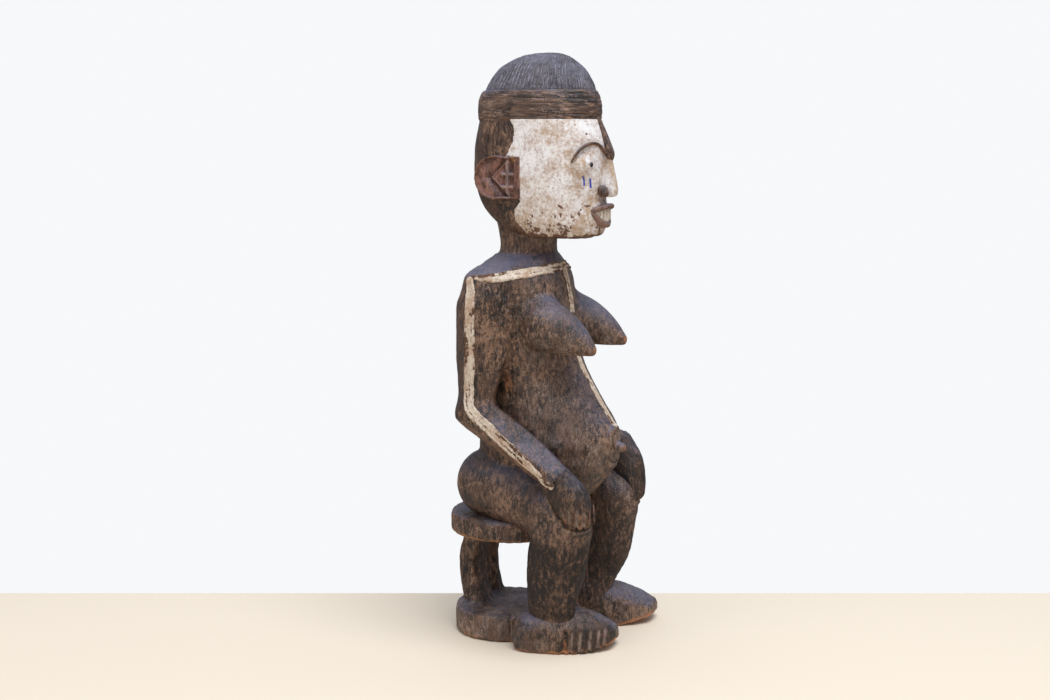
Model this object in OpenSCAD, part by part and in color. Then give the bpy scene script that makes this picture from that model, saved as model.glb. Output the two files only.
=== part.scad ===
// Seated female figure on a round stool, carved from one log.
// Frame: +Z up, the figure faces -Y, its left side is +X, and the origin is the centre of the
// stool base's underside. Each region of the carving is a solid of its own, and neighbours meet
// face to face along the carver's creases.

/* [Figure] */
// Midline to the middle of each upper arm
arm_x = 62; // [59:1:65]
// Half the breadth of the head
head_x = 46; // [43:1:49]
// Midline to each breast's tip
breast_x = 42; // [38:1:46]
// Midline to the middle of each knee
leg_x = 50; // [46:1:53]
// How far the kaolin coat stands proud of the wood
coat_t = 1.2; // [0.8:0.1:2]

/* [Stool] */
// Radius of the round base
base_r = 55; // [50:1:58]
// Thickness of the base
base_t = 27; // [22:1:30]
// Radius of the seat
seat_r = 64; // [60:1:67]
// Height of the seat's underside
seat_z = 110; // [107:1:113]
// Thickness of the seat
seat_t = 21; // [18:1:23]

/* [Hidden] */
egg_fn = 14;
outline_n = 26;
right = -1;
left = 1;
blunt = 2.35;
skin = 0.02;
seat_y = -6;
left_leg_out = 6;
left_leg_ahead = 9;
left_reach = [-11, 12];
wood = "#3a2a20";
kaolin = "#ddd3c2";

// A section of the trunk or head: height, half breadth, front, widest place and back along Y,
// and the bluntness of its front half, where 2 is an ellipse and 1 a straight-sided wedge.
trunk = [
    [158, 40, -100, -30, 22, 2.1], [185, 50, -120, -36, 24, 2.1], [210, 54, -126, -38, 23, 2.1],
    [231, 52, -122, -36, 21, 2.1], [250, 50, -110, -32, 19, 2.1], [270, 50, -98, -28, 19, 2],
    [296, 52, -84, -22, 20, 2], [330, 60, -77, -10, 22, 2], [355, 66, -74, 0, 23, 2],
    [376, 69, -70, 5, 22, 2.05], [386, 66, -67, 6, 19, 2.05], [397, 46, -63, -8, 13, 2],
    [403, 32, -58, -24, 8, 2]
];
skull = [
    [422, 22, -94, -62, -32, blunt], [426, 34, -102, -58, -14, blunt],
    [436, head_x - 5, -106, -52, 4, blunt], [450, head_x - 2.5, -106, -44, 18, blunt],
    [466, head_x - 0.8, -107, -40, 26, blunt], [484, head_x, -109, -38, 30, blunt],
    [504, head_x, -110, -37, 30, blunt], [520, head_x - 0.3, -108, -36, 28.5, blunt],
    [541, head_x - 1.5, -101, -36, 23.5, blunt]
];
band = [
    [541, head_x + 0.3, -102.5, -36, 25.5, blunt], [547, head_x + 0.8, -103.5, -36, 26, blunt],
    [556, head_x + 0.6, -102.5, -36, 25.5, blunt], [564, head_x - 0.5, -100, -36, 23, blunt],
    [569, head_x - 3, -97, -36, 19, blunt]
];
hair = [
    [569, head_x - 3, -96, -37, 17, blunt], [576, head_x - 5, -94, -38, 14, blunt],
    [584, head_x - 9, -90, -40, 9, blunt], [592, head_x - 14, -84, -42, 2, blunt],
    [599, head_x - 22, -76, -45, -9, blunt], [604, head_x - 31, -68, -48, -21, blunt],
    [607, head_x - 40, -58, -50, -41, blunt]
];

// ---- building blocks ----

// One point of a blunt oval at angle t.
function oval(t, half_x, front, wide, back, power) = [
    half_x * sign(cos(t)) * pow(abs(cos(t)), 2 / power),
    wide + (sin(t) > 0 ? back - wide : wide - front) * sign(sin(t)) * pow(abs(sin(t)), 2 / power)
];

// A thin slice with the section's outline, grown outwards by grow.
module slice(s, grow = 0) {
    translate([0, 0, s[0]])
        linear_extrude(skin)
            polygon([for (i = [0:outline_n - 1])
                oval(i * 360 / outline_n, s[1] + grow, s[2] - grow, s[3], s[4] + grow,
                    i < outline_n / 2 ? blunt : s[5])]);
}

// A body that passes through a list of sections.
module body_of(sections, grow = 0) {
    for (i = [0:len(sections) - 2])
        hull() {
            slice(sections[i], grow);
            slice(sections[i + 1], grow);
        }
}

// An ellipsoid with centre c and half sizes r.
module egg(c, r) {
    translate(c)
        scale(r)
            sphere(1, $fn = egg_fn);
}

// A limb that runs through ellipsoids, each [centre, half sizes].
module limb(eggs) {
    for (i = [0:len(eggs) - 2])
        hull() {
            egg(eggs[i][0], eggs[i][1]);
            egg(eggs[i + 1][0], eggs[i + 1][1]);
        }
}

// A bead of radius r along a path.
module bead(path, r) {
    for (i = [0:len(path) - 2])
        hull() {
            translate(path[i]) sphere(r, $fn = 8);
            translate(path[i + 1]) sphere(r, $fn = 8);
        }
}

module below(z) {
    translate([-200, -200, z - 400])
        cube([400, 400, 400]);
}

// ---- rough shapes, which overlap until each node is cut from its neighbours ----

module trunk_rough() {
    body_of(trunk);
}

module arm_rough(side) {
    limb([
        [[side * (arm_x - 10), 0, 373], [17, 18, 12]],
        [[side * (arm_x - 3), -2, 352], [18, 26, 14]],
        [[side * arm_x, -3, 326], [17, 28, 14]],
        [[side * (arm_x + 1), 0, 298], [16, 26, 14]],
        [[side * (arm_x + 2), 3, 272], [15, 23, 14]],
        [[side * (arm_x + 3), 5, 250], [15, 21, 14]]
    ]);
}

module forearm_rough(side) {
    reach = side == right ? [0, 0] : left_reach;
    limb([
        [[side * (arm_x + 3), 4, 243], [15, 21, 21]],
        [[side * (arm_x + 5), -27 + 0.3 * reach[0], 226 + 0.4 * reach[1]], [15, 20, 21]],
        [[side * (arm_x + 7), -56 + 0.8 * reach[0], 208 + 0.8 * reach[1]], [15, 20, 20]],
        [[side * (arm_x + 8), -82 + reach[0], 190 + reach[1]], [14, 17, 18]]
    ]);
}

module hand_rough(side) {
    reach = side == right ? [0, 0] : left_reach;
    limb([
        [[side * (arm_x + 7), -90 + reach[0], 182 + reach[1]], [14, 16, 18]],
        [[side * (arm_x + 5), -102 + 0.7 * reach[0], 169 + 0.7 * reach[1]], [15, 19, 17]],
        [[side * (arm_x + 3), -108 + 0.5 * reach[0], 156 + 0.3 * reach[1]], [14, 19, 14]],
        [[side * (arm_x + 1), -111 + 0.5 * reach[0], 146], [12, 15, 9]]
    ]);
}

module thigh_rough(side) {
    out = side == right ? 0 : left_leg_out;
    ahead = side == right ? 0 : left_leg_ahead;
    limb([
        [[side * 30, 2, 165], [31, 38, 37]],
        [[side * 38, -24, 160], [26, 34, 35]],
        [[side * (leg_x - 6) + out / 2, -54 - ahead / 2, 152], [24, 30, 31]],
        [[side * leg_x + out, -87 - ahead, 142], [24, 31, 28]]
    ]);
}

module shin_rough(side) {
    out = side == right ? 0 : left_leg_out;
    ahead = side == right ? 0 : left_leg_ahead;
    limb([
        [[side * leg_x + out, -87 - ahead, 126], [23, 32, 16]],
        [[side * leg_x + out, -84 - ahead, 106], [22, 34, 16]],
        [[side * (leg_x - 1) + out, -81 - ahead, 82], [20, 33, 16]],
        [[side * (leg_x - 1) + out, -78 - ahead / 2, 58], [18, 29, 14]],
        [[side * (leg_x - 2) + out / 2, -76, 40], [17, 26, 14]]
    ]);
}

// Both feet turn towards the figure's left.
module foot_rough(side) {
    toe = side == right ? [-14, -119] : [84, -126];
    heel = side == right ? [-50, -52] : [48, -54];
    along = toe - heel;
    difference() {
        limb([
            [[heel[0], heel[1], 17], [19, 17, 19]],
            [concat(heel + 0.4 * along, 19), [25, 24, 26]],
            [concat(heel + 0.75 * along, 15), [24, 21, 22]],
            [concat(toe, 11), [20, 13, 15]]
        ]);
        below(0);
    }
}

module seat_rough() {
    translate([0, seat_y, seat_z])
        rotate_extrude()
            polygon([[0, 0], [seat_r - 5, 0], [seat_r, 6], [seat_r, seat_t - 5],
                [seat_r - 4, seat_t], [0, seat_t]]);
}

module base_rough() {
    rotate_extrude()
        polygon([[0, 0], [base_r - 6, 0], [base_r, 7], [base_r, base_t - 5],
            [base_r - 5, base_t], [0, base_t]]);
}

module neck_rough() {
    body_of([
        [395, 32, -60, -26, 8, 2], [408, 28, -56, -26, 4, 2], [420, 27, -56, -26, 4, 2],
        [445, 29, -58, -26, 9, 2]
    ]);
}

module breast_rough(side) {
    difference() {
        limb([
            [[side * (breast_x - 6), -58, 335], [25, 20, 29]],
            [[side * (breast_x - 4), -80, 330], [21, 15, 24]],
            [[side * (breast_x - 2), -98, 322], [15, 12, 17]],
            [[side * breast_x, -113, 314], [7, 6, 7]]
        ]);
        below(307);
    }
}

// ---- stool ----

module stool_base() {
    color(wood) base_rough();
}

// A bowed slab that stands on the base: its middle, size and how far it bows to the rear.
module post(middle, size, bow) {
    heights = [base_t, (base_t + seat_z) / 2, seat_z];
    for (i = [0:1])
        hull()
            for (j = [i, i + 1])
                translate([middle[0] - size[0] / 2, middle[1] - size[1] / 2 + (j == 1 ? bow : 0),
                    heights[j] - (j == 2 ? skin : 0)])
                    cube([size[0], size[1], skin]);
}

module stool_post_right() {
    color(wood) post([-5, 30], [32, 20], 9);
}

module stool_post_left() {
    color(wood) post([32, 31], [14, 18], 6);
}

module stool_seat() {
    color(wood) seat_rough();
}

// ---- legs ----

module foot(side) {
    color(wood)
        difference() {
            foot_rough(side);
            base_rough();
            shin_rough(side);
        }
}

module shin(side) {
    color(wood)
        difference() {
            shin_rough(side);
            base_rough();
            seat_rough();
        }
}

module thigh(side) {
    color(wood)
        difference() {
            thigh_rough(side);
            shin_rough(side);
            seat_rough();
            translate([side == right ? 0 : -200, -200, 0]) cube([200, 400, 400]);
        }
}

// ---- trunk ----

module torso() {
    color(wood)
        difference() {
            trunk_rough();
            for (side = [right, left]) {
                thigh_rough(side);
                arm_rough(side);
                forearm_rough(side);
            }
            seat_rough();
        }
}

module navel() {
    color(wood)
        difference() {
            union() {
                limb([[[0, -119, 224], [9, 7, 5]], [[0, -122, 209], [14, 7, 8]],
                    [[0, -119, 194], [9, 7, 5]]]);
                limb([[[0, -124, 209], [6, 6, 6]], [[0, -131, 209], [5, 5, 5]]]);
            }
            trunk_rough();
        }
}

module breast(side) {
    color(wood)
        difference() {
            breast_rough(side);
            trunk_rough();
            arm_rough(side);
        }
}

module neck() {
    color(wood)
        difference() {
            neck_rough();
            trunk_rough();
            body_of(skull);
        }
}

// ---- arms ----

module upper_arm(side) {
    color(wood)
        difference() {
            arm_rough(side);
            forearm_rough(side);
        }
}

module forearm(side) {
    color(wood)
        difference() {
            forearm_rough(side);
            thigh_rough(side);
        }
}

module hand(side) {
    color(wood)
        difference() {
            hand_rough(side);
            forearm_rough(side);
            thigh_rough(side);
            shin_rough(side);
        }
}

// ---- head ----

module head() {
    color(wood)
        body_of(skull);
}

module headband() {
    color(wood)
        difference() {
            body_of(band);
            body_of(skull);
        }
}

module hair_cap() {
    color(wood)
        difference() {
            body_of(hair);
            body_of(band);
        }
}

// The ear is half round with a straight front edge.
module ear_rough(side) {
    translate([side * head_x, -12, 483])
        rotate([0, 90, 0])
            linear_extrude(14, center = true)
                hull() {
                    circle(22, $fn = 28);
                    translate([0, -13]) square([42, 20], center = true);
                }
}

// A shallow bowl is hollowed into its outer face.
module ear(side) {
    color("#5a3a2c")
        difference() {
            ear_rough(side);
            egg([side * (head_x + 12), -12, 483], [9, 17, 17]);
            body_of(skull);
        }
}

// The coat covers the face from the temples forward, down to the jaw's edge.
module face_kaolin() {
    color(kaolin)
        difference() {
            intersection() {
                body_of(skull, coat_t);
                translate([-100, -200, 425]) cube([200, 200 - 32, 541 - 425]);
            }
            body_of(skull);
            body_of(band);
            neck_rough();
            for (side = [right, left])
                ear_rough(side);
        }
}

module forehead_ridge_rough() {
    bead([[0, -101, 538], [0, -107, 527], [0, -112, 516], [0, -116, 506]], 4);
}

module forehead_ridge() {
    color(wood)
        difference() {
            forehead_ridge_rough();
            body_of(skull, coat_t);
            body_of(band);
        }
}

module brow(side) {
    color(wood)
        difference() {
            bead([
                [side * 39, -93, 501], [side * 33, -101, 513], [side * 24, -107, 520],
                [side * 14, -110.5, 518], [side * 6, -113, 508]
            ], 2.6);
            body_of(skull, coat_t);
            forehead_ridge_rough();
        }
}

module nose_rough() {
    hull() {
        egg([0, -112, 500], [4, 6, 6]);
        egg([0, -117, 470], [6, 8, 8]);
    }
}

module nose() {
    color(kaolin)
        difference() {
            nose_rough();
            forehead_ridge_rough();
            body_of(skull, coat_t);
        }
}

module nostril(side) {
    color(wood)
        difference() {
            egg([side * 9, -112, 469], [5, 6, 5]);
            nose_rough();
            body_of(skull, coat_t);
        }
}

module pupil(side) {
    color("#1d1512")
        difference() {
            egg([side * 21, -105.5, 496], [2, 4, 2]);
            body_of(skull, coat_t);
        }
}

// Half of a lip mirrored at the midline; tip is how high its middle stands.
module lip(tip, droop) {
    bead([
        [-18, -100, 448.5], [-11, -110, 448.5 + 0.6 * tip], [0, -114 - droop, 448.5 + tip],
        [11, -110, 448.5 + 0.6 * tip], [18, -100, 448.5]
    ], 3.2);
}

module upper_lip() {
    color(wood)
        difference() {
            lip(8, 3);
            body_of(skull, coat_t);
        }
}

module lower_lip() {
    color(wood)
        difference() {
            lip(-11, 0);
            lip(8, 3);
            body_of(skull, coat_t);
        }
}

module teeth() {
    color("#cfc0a8")
        difference() {
            hull()
                for (side = [right, left])
                    translate([side * 8, -104, 439]) cylinder(h = 17, r = 5, $fn = 16);
            lip(8, 3);
            lip(-11, 0);
            body_of(skull, coat_t);
        }
}

// ---- kaolin stripes ----

module shoulder_stripe_rough() {
    half = [[69, 8, 383], [66, -15, 383], [50, -42, 388], [26, -59, 392], [0, -66, 393]];
    for (side = [right, left])
        bead([for (p = half) [side * p[0], p[1], p[2]]], 3.5);
}

module shoulder_stripe() {
    color(kaolin)
        difference() {
            shoulder_stripe_rough();
            trunk_rough();
            for (side = [right, left])
                arm_rough(side);
        }
}

module chest_stripe() {
    color(kaolin)
        difference() {
            bead([
                [0, -67, 386], [0, -69.5, 374], [0, -74, 355], [0, -77, 330], [0, -84, 296],
                [0, -98, 270], [0, -110, 250], [0, -121, 231]
            ], 3);
            trunk_rough();
            for (side = [right, left])
                breast_rough(side);
        }
}

module arm_stripe(side) {
    path = [[10, 5, 380], [15, 4, 352], [16.5, 4, 325], [17, 4, 298], [17, 5, 272],
        [17.5, 1, 250], [20, -23, 230], [21, -50, 209], [21, -80, 182]];
    color(kaolin)
        difference() {
            bead([for (p = path) [side * (arm_x - 1 + p[0]), p[1], p[2]]], 4.5);
            shoulder_stripe_rough();
            arm_rough(side);
            forearm_rough(side);
            trunk_rough();
        }
}

stool_base();
stool_post_right();
stool_post_left();
stool_seat();
foot(right);  // foot_right
foot(left);  // foot_left
shin(right);  // shin_right
shin(left);  // shin_left
thigh(right);  // thigh_right
thigh(left);  // thigh_left
torso();
navel();
breast(right);  // breast_right
breast(left);  // breast_left
neck();
upper_arm(right);  // upper_arm_right
upper_arm(left);  // upper_arm_left
forearm(right);  // forearm_right
forearm(left);  // forearm_left
hand(right);  // hand_right
hand(left);  // hand_left
head();
headband();
hair_cap();
ear(right);  // ear_right
ear(left);  // ear_left
face_kaolin();
forehead_ridge();
brow(right);  // brow_right
brow(left);  // brow_left
nose();
nostril(right);  // nostril_right
nostril(left);  // nostril_left
pupil(right);  // pupil_right
pupil(left);  // pupil_left
upper_lip();
lower_lip();
teeth();
shoulder_stripe();
chest_stripe();
arm_stripe(right);  // arm_stripe_right
arm_stripe(left);  // arm_stripe_left
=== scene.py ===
import math

import bpy
import numpy as np
import openvdb
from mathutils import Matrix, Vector


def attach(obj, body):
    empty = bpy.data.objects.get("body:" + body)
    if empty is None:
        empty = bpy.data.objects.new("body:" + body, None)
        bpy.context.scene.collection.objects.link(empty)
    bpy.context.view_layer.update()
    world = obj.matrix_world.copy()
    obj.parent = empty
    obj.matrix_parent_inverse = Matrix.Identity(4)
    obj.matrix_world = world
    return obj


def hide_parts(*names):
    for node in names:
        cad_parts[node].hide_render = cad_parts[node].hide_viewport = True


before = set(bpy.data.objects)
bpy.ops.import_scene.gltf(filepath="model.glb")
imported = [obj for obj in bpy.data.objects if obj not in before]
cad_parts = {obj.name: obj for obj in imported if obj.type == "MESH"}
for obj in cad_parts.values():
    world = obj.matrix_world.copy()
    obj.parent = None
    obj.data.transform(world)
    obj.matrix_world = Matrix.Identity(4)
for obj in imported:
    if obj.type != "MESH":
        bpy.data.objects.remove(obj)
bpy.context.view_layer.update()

MM = 0.001
FAR = 9.0
RIGHT, LEFT = -1, 1
SIDE = {RIGHT: "right", LEFT: "left"}
# The left arm reaches further forward (along Y) and is raised more than the right one.
REACH = {RIGHT: (0, 0), LEFT: (-11, 12)}
# Finger gaps and notches are spaced along this level direction, 65 degrees round from the front.
VIEW_X, VIEW_Y = 0.4226, 0.906
# What the masks on a mesh stand for, one colour channel each.
RIDGE, HOLLOW, PALE, TINT = range(4)

# Sizes in millimetres, as in the CAD model.
ARM_X, BREAST_X, LEG_X, COAT = 62, 42, 50, 1.2
BASE_R, BASE_T, SEAT_R, SEAT_Z, SEAT_T, SEAT_Y = 55, 27, 64, 110, 21, -6

# height, half breadth, front, widest place, back, bluntness of the front half
TRUNK = [
    [158, 40, -100, -30, 22, 2.1], [185, 50, -120, -36, 24, 2.1], [210, 54, -126, -38, 23, 2.1],
    [231, 52, -122, -36, 21, 2.1], [250, 50, -110, -32, 19, 2.1], [270, 50, -98, -28, 19, 2],
    [296, 52, -84, -22, 20, 2], [330, 60, -77, -10, 22, 2], [355, 66, -74, 0, 23, 2],
    [376, 69, -70, 5, 22, 2.05], [386, 66, -67, 6, 19, 2.05], [397, 46, -63, -8, 13, 2],
    [403, 32, -58, -24, 8, 2],
    ]
SKULL = [
    [422, 22, -94, -62, -32, 2.35], [426, 34, -102, -58, -14, 2.35], [436, 41, -106, -52, 4, 2.35],
    [450, 43.5, -106, -44, 18, 2.35], [466, 45.2, -107, -40, 26, 2.35], [484, 46, -109, -38, 30, 2.35],
    [504, 46, -110, -37, 30, 2.35], [520, 45.7, -108, -36, 28.5, 2.35], [541, 44.5, -101, -36, 23.5, 2.35],
    ]
BAND = [
    [539.5, 44.6, -101, -36, 24, 2.35], [541.5, 45.6, -102, -36, 25, 2.35], [549, 46.2, -102.8, -36, 25.6, 2.35],
    [558, 45.9, -102, -36, 25, 2.35], [565, 45, -99.6, -36, 22.6, 2.35], [569, 43.4, -97.2, -36, 19.4, 2.35],
    [570, 40, -94, -36, 16, 2.35],
    ]
HAIR = [
    [560, 43.5, -97, -37, 18.5, 2.35], [569, 43, -95.8, -37, 17, 2.35], [576, 41, -94, -38, 14, 2.35],
    [584, 37, -90, -40, 9, 2.35], [592, 32, -84, -42, 2, 2.35], [599, 24, -76, -45, -9, 2.35],
    [604, 15, -68, -48, -21, 2.35], [606.4, 8, -60, -50, -34, 2.3], [607, 1.5, -53, -51, -46, 2.2],
    ]
NECK = [
    [390, 34, -60, -26, 9, 2], [408, 28, -56, -26, 4, 2], [420, 27, -56, -26, 4, 2],
    [445, 29, -58, -26, 9, 2],
    ]


# ---- fields ----

def curve(rows, steps):
    """Points of a smooth curve through rows of numbers."""
    p = np.array(rows, float)
    p = np.vstack([2 * p[0] - p[1], p, 2 * p[-1] - p[-2]])
    t = (np.arange(steps) / steps)[:, None]
    out = []
    for a, b, c, d in zip(p, p[1:], p[2:], p[3:]):
        out.append(0.5 * (2 * b + (c - a) * t + (2 * a - 5 * b + 4 * c - d) * t**2
            + (3 * b - a - 3 * c + d) * t**3))
    return np.vstack(out + [p[-2][None]])


def unit(v):
    return np.clip(v, 0, 1)


def ease(lo, hi, v):
    """0 before lo, 1 after hi and smooth between; lo may be over hi."""
    t = unit((v - lo) / (hi - lo))
    return t * t * (3 - 2 * t)


def groove(distance, width, depth):
    return depth * np.exp(-((distance / width) ** 2))


def soft_min(a, b, k):
    h = unit(0.5 + 0.5 * (b - a) / k)
    return b + (a - b) * h - k * h * (1 - h)


def soft_max(a, b, k):
    return -soft_min(-a, -b, k)


def hashed(i, j, k, seed):
    """A repeatable random number from 0 to 1 for each cell."""
    h = (i.astype(np.int64) * 73856093) ^ (j.astype(np.int64) * 19349663) ^ (
        k.astype(np.int64) * 83492791) ^ (seed * 2654435761)
    h = (h ^ (h >> 13)) * 1274126177 & 0xFFFFFFFF
    h = (h ^ (h >> 16)) * 2246822519 & 0xFFFFFFFF
    return ((h ^ (h >> 15)) & 0xFFFFFF).astype(np.float32) / 0xFFFFFF


def noise(p, size, seed=0):
    """Smooth noise from -1 to 1 at points p, with bumps of that size."""
    q = p / size
    i = np.floor(q)
    f = (q - i).astype(np.float32)
    f = f * f * (3 - 2 * f)
    out = 0
    for a in (0, 1):
        for b in (0, 1):
            for c in (0, 1):
                w = (f[:, 0] if a else 1 - f[:, 0]) * (f[:, 1] if b else 1 - f[:, 1]) * (
                    f[:, 2] if c else 1 - f[:, 2])
                out = out + w * hashed(i[:, 0] + a, i[:, 1] + b, i[:, 2] + c, seed)
    return out * 2 - 1


def rough(p, size, seed=0, octaves=3):
    return sum(noise(p, size / 2**o, seed + o) / 2**o for o in range(octaves)) / 1.6


def scoops(p, size, seed=0):
    """Shallow adze scoops: 0 in the middle of a cut and 1 on the ridge between two cuts."""
    q = p / size
    i = np.floor(q)
    first = np.full(len(p), 9.0, np.float32)
    second = first.copy()
    for a in (-1, 0, 1):
        for b in (-1, 0, 1):
            for c in (-1, 0, 1):
                cell = [i[:, 0] + a, i[:, 1] + b, i[:, 2] + c]
                d = sum((cell[n] + 0.15 + 0.7 * hashed(*cell, seed + n) - q[:, n]) ** 2 for n in range(3))
                second = np.minimum(second, np.maximum(first, d))
                first = np.minimum(first, d)
    return unit(first / (second + 1e-6))


class Block:
    """A block of space with a distance to the carved surface at each grid point."""

    def __init__(self, lo, hi, step):
        self.step = step
        self.lo = np.floor(np.array(lo) / step).astype(int)
        self.n = np.ceil(np.array(hi) / step).astype(int) - self.lo + 1
        self.axes = [((self.lo[i] + np.arange(self.n[i])) * step).astype(np.float32) for i in range(3)]
        self.d = np.full(self.n, FAR, np.float32)
        self.nearest = self.d.copy()
        self.owner = np.zeros(self.n, np.uint8)
        self.names = []

    def window(self, lo, hi):
        a = np.clip(np.floor(np.array(lo) / self.step).astype(int) - self.lo, 0, self.n)
        b = np.clip(np.ceil(np.array(hi) / self.step).astype(int) - self.lo + 1, 0, self.n)
        return tuple(slice(i, max(i, j)) for i, j in zip(a, b))

    def xyz(self, w=(slice(None),) * 3):
        x, y, z = (self.axes[i][w[i]] for i in range(3))
        return x[:, None, None], y[None, :, None], z[None, None, :]

    def eggs(self, shapes, steps=8, pad=8, power=2.0):
        """A limb through ellipsoids, each (x, y, z, rx, ry, rz), or blunter ones where power is over 2."""
        rows = curve(shapes, steps) if len(shapes) > 1 else np.array(shapes, float)
        w = self.window((rows[:, :3] - rows[:, 3:]).min(0) - pad, (rows[:, :3] + rows[:, 3:]).max(0) + pad)
        out = np.full([s.stop - s.start for s in w], FAR, np.float32)
        for row in rows:
            v = self.window(row[:3] - row[3:] - pad, row[:3] + row[3:] + pad)
            x, y, z = self.xyz(v)
            e = [(np.abs(q - row[i]) / row[3 + i]).astype(np.float32) for i, q in enumerate((x, y, z))]
            k0 = sum(q**power for q in e) ** (1 / power)
            k1 = np.sqrt(sum(q ** (2 * power - 2) / row[3 + i] ** 2 for i, q in enumerate(e)))
            part = tuple(slice(a.start - b.start, a.stop - b.start) for a, b in zip(v, w))
            out[part] = np.minimum(out[part], (k0 - 1) * k0 ** (power - 1) / (k1 + 1e-6))
        return w, out

    def loft(self, sections, x0=0.0, back_power=2.35):
        """A body through blunt ovals."""
        t = np.linspace(0, 2 * np.pi, 120, endpoint=False)
        c, s = np.cos(t), np.sin(t)
        rings = []
        for z, half, front, wide, back, power in curve(sections, 6):
            e = 2 / np.where(s > 0, back_power, power)
            x = x0 + half * np.sign(c) * abs(c) ** e
            y = wide + np.where(s > 0, back - wide, wide - front) * np.sign(s) * abs(s) ** e
            rings.append(np.stack([x, y, np.full_like(x, z)], 1))
        n, m = len(rings), len(t)
        points = np.vstack(rings + [rings[0].mean(0)[None], rings[-1].mean(0)[None]]).astype(np.float32)
        i = np.arange(m)
        j = (i + 1) % m
        quads = np.vstack([np.stack([r * m + i, r * m + j, (r + 1) * m + j, (r + 1) * m + i], 1)
            for r in range(n - 1)]).astype(np.uint32)
        ends = np.vstack([np.stack([j, i, np.full(m, n * m)], 1),
            np.stack([(n - 1) * m + i, (n - 1) * m + j, np.full(m, n * m + 1)], 1)]).astype(np.uint32)
        field = openvdb.FloatGrid.createLevelSetFromPolygons(
            points, triangles=ends, quads=quads,
            transform=openvdb.createLinearTransform(voxelSize=self.step), halfWidth=FAR / self.step)
        w = self.window(points.min(0) - FAR, points.max(0) + FAR)
        out = np.empty([s.stop - s.start for s in w], np.float32)
        field.copyToArray(out, ijk=tuple(int(self.lo[i] + w[i].start) for i in range(3)))
        return w, out

    def add(self, name, shape, k):
        """Joins a shape to the carving with a fillet of size k; name owns the surface nearest to it."""
        w, d = shape
        if name not in self.names:
            self.names.append(name)
        near = d < self.nearest[w]
        self.owner[w][near] = self.names.index(name)
        self.nearest[w] = np.minimum(self.nearest[w], d)
        self.d[w] = soft_min(self.d[w], d, k)

    def part(self, w, d):
        """A smaller block on the same grid, over a window of this one."""
        made = object.__new__(Block)
        made.step, made.d, made.names = self.step, d, [""]
        made.lo = self.lo + [s.start for s in w]
        made.n = np.array(d.shape)
        made.axes = [a[s] for a, s in zip(self.axes, w)]
        made.owner = np.zeros(d.shape, np.uint8)
        return made

    def points(self, near):
        """The grid points within reach of the surface, to carve detail on."""
        inside = np.abs(self.d) < near
        ix = np.argwhere(inside)
        return inside, np.stack([self.axes[i][ix[:, i]] for i in range(3)], 1)

    def carve(self, depth, near=3.0):
        """Takes depth(points) off the surface, or adds to it where depth is negative."""
        inside, p = self.points(near)
        self.d[inside] += depth(p).astype(np.float32)

    def sample(self, field, p):
        q = p / self.step - self.lo
        i = np.clip(np.floor(q).astype(int), 0, self.n - 2)
        f = unit(q - i)
        out = 0
        for a in (0, 1):
            for b in (0, 1):
                for c in (0, 1):
                    w = (f[:, 0] if a else 1 - f[:, 0]) * (f[:, 1] if b else 1 - f[:, 1]) * (
                        f[:, 2] if c else 1 - f[:, 2])
                    out = out + w * field[i[:, 0] + a, i[:, 1] + b, i[:, 2] + c]
        return out

    def bulge(self, p, reach):
        """How far the surface is from flat around each point: over 0 on ridges, under 0 in hollows."""
        out = 0
        corners = [(a, b, c) for a in (-1, 0, 1) for b in (-1, 0, 1) for c in (-1, 0, 1)]
        aims = [np.array(v) / np.linalg.norm(v) for v in corners if abs(sum(map(abs, v)) - 2) == 1]
        for aim in aims:
            out = out + np.clip(self.sample(self.d, p + aim * reach), -2 * reach, 2 * reach)
        return out / len(aims) - self.sample(self.d, p)

    def mesh(self):
        """Points and quads of the surface."""
        g = openvdb.FloatGrid(background=3 * self.step)
        g.copyFromArray(np.clip(self.d, -3 * self.step, 3 * self.step), ijk=tuple(int(v) for v in self.lo))
        p, q = g.convertToQuads(isovalue=0.0)
        p = np.array(p, np.float64) * self.step
        q = np.array(q, np.int64)
        a, b, c = p[q[:, 0]], p[q[:, 1]], p[q[:, 2]]
        if np.einsum("ij,ij->i", a, np.cross(b, c)).sum() < 0:
            q = q[:, ::-1]
        return p, q


def side_block(side, lo, hi, step):
    """A block given for the left side, or its mirror image for the right side."""
    a, b = np.array(lo) * (side, 1, 1), np.array(hi) * (side, 1, 1)
    return Block(np.minimum(a, b), np.maximum(a, b), step)


def normals_of(p, q):
    n = np.cross(p[q[:, 2]] - p[q[:, 0]], p[q[:, 3]] - p[q[:, 1]])
    out = np.zeros_like(p)
    for i in range(4):
        for axis in range(3):
            out[:, axis] += np.bincount(q[:, i], n[:, axis], len(p))
    return out / (np.linalg.norm(out, axis=1, keepdims=True) + 1e-12)


# ---- pieces ----

SLOT = {"face_kaolin": "face_kaolin", "nose": "face_kaolin", "teeth": "tooth_white"}


def slot_of(node):
    if node in SLOT:
        return SLOT[node]
    for start, slot in (("stool", "stool_wood"), ("ear", "ear_wood"), ("pupil", "pupil_black")):
        if node.startswith(start):
            return slot
    return "stripe_kaolin" if "stripe" in node else "dark_wood"


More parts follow.
